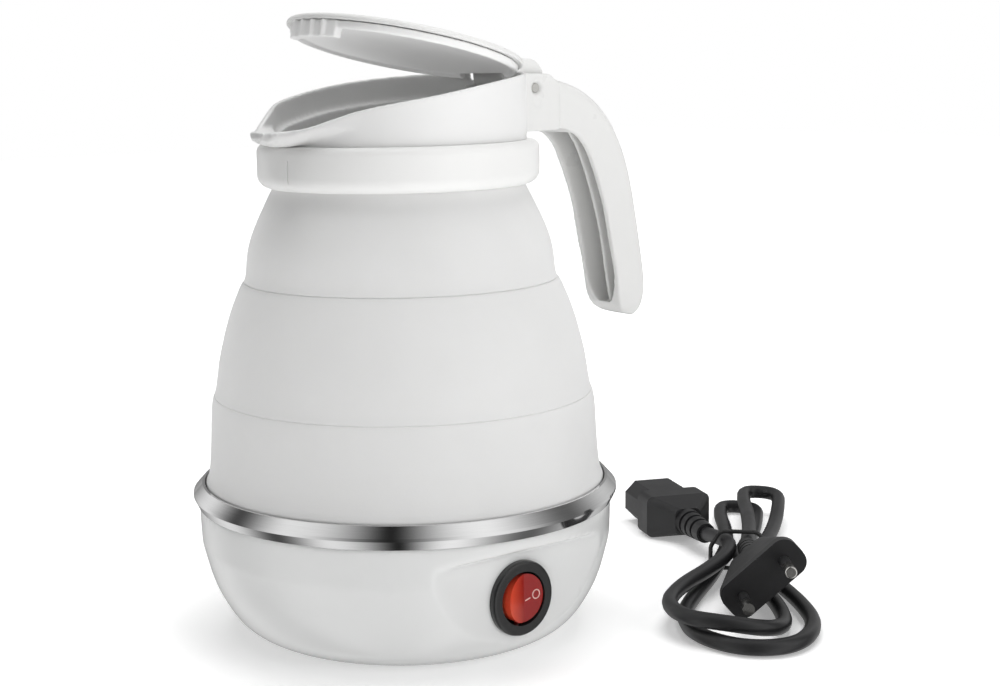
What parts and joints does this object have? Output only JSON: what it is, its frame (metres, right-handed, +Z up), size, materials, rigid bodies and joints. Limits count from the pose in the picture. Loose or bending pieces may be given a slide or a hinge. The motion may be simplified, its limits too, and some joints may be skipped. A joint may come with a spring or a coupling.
{
  "type": "collapsible travel kettle",
  "caption": "Folding electric travel kettle: stepped silicone body between a heater base and a spouted rim, with a hinged lid, a moulded side handle, a rocker switch and a plug-in power lead.",
  "frame": {"origin": "on the kettle's axis at table level, under the foot ring", "axes": "+Z up along the kettle's axis, -X towards the spout, +X towards the handle, -Y towards the rocker switch"},
  "size_m": [0.2745, 0.1858, 0.2096],
  "materials": {
    "base_shell": "smooth satin-gloss moulded plastic, warm light grey-white",
    "bottom_cover": "fine matt moulded plastic",
    "foot_rubber": "grey anti-slip rubber",
    "screw_steel": "zinc-plated screws",
    "carrier_plastic": "unfilled moulded plastic",
    "polished_band": "polished stainless steel",
    "pan_steel": "food-grade stainless steel with a fine circular grain",
    "spreader_aluminium": "cast aluminium",
    "element_sheath": "drawn aluminium sheath",
    "pin_metal": "nickel-plated",
    "thermostat_body": "phenolic moulding",
    "contact_brass": "bright brass",
    "fuse_metal": "tinned metal case",
    "silicone": "matt food-grade silicone, warm light grey-white",
    "collar_plastic": "smooth satin moulded plastic",
    "rim_plastic": "smooth satin moulded plastic",
    "handle_plastic": "smooth satin moulded plastic",
    "lid_plastic": "smooth satin moulded plastic",
    "liner_plastic": "fine satin moulded plastic",
    "switch_black": "black gloss moulding",
    "rocker_red": "translucent red moulding",
    "lamp_glow": "clear glass neon lamp",
    "inlet_black": "black moulding",
    "wire_brown": "brown wire insulation",
    "wire_blue": "blue wire insulation",
    "wire_green": "green and yellow wire insulation",
    "boot_clear": "milky insulating boots",
    "lead_black": "smooth satin black flexible cord",
    "plug_black": "satin black moulding",
    "tie_wire": "black plastic-covered tie wire"
  },
  "bodies": {
    "base": {"base_shell": "base_shell", "bottom_cover": "bottom_cover", "foot_ring": "foot_rubber", "bottom_screws": "screw_steel", "inner_carrier": "carrier_plastic", "steel_band": "polished_band", "heating_pan": "pan_steel", "heat_spreader": "spreader_aluminium", "heating_element": "element_sheath", "element_cold_pins": "pin_metal", "inlet_pins": "pin_metal", "thermostat": "thermostat_body", "thermostat_legs": "contact_brass", "switch_terminals": "contact_brass", "thermal_fuse": "fuse_metal", "silicone_lower_tier": "silicone", "silicone_middle_tier": "silicone", "switch_housing": "switch_black", "inlet_socket": "inlet_black", "live_wires": "wire_brown", "neutral_wires": "wire_blue", "earth_wire": "wire_green", "wire_boots": "boot_clear"},
    "top": {"silicone_upper_tier": "silicone", "collar_ring": "collar_plastic", "rim_spout": "rim_plastic", "handle_shell": "handle_plastic", "handle_screws": "screw_steel", "hinge_pin": "pin_metal"},
    "lid": {"lid_cover": "lid_plastic", "lid_liner": "liner_plastic"},
    "rocker": {"switch_rocker": "rocker_red", "neon_lamp": "lamp_glow"},
    "power_lead": {"lead_cord": "lead_black", "connector_strain_relief": "lead_black", "connector_body": "plug_black", "connector_contacts": "pin_metal", "plug_strain_relief": "lead_black", "plug_body": "plug_black", "plug_pins": "pin_metal", "cord_tie": "tie_wire"}
  },
  "joints": [
    {"name": "collapse", "type": "slide", "parent": "base", "child": "top", "axis": [0, 0, -1], "range_m": [0, 0.0764], "deforming": ["silicone_middle_tier"]},
    {"name": "lid_hinge", "type": "hinge", "parent": "top", "child": "lid", "pos_m": [0.052, 0, 0.1835], "axis": [0, 1, 0], "range_deg": [-18.6, 60]},
    {"name": "rocker_tilt", "type": "hinge", "parent": "base", "child": "rocker", "pos_m": [0, -0.0599, 0.0226], "axis": [0, 0, -1], "range_deg": [0, 18]},
    {"name": "lead_lift", "type": "slide", "parent": "base", "child": "power_lead", "axis": [0, 0, 1], "range_m": [0, 0.06]}
  ]
}
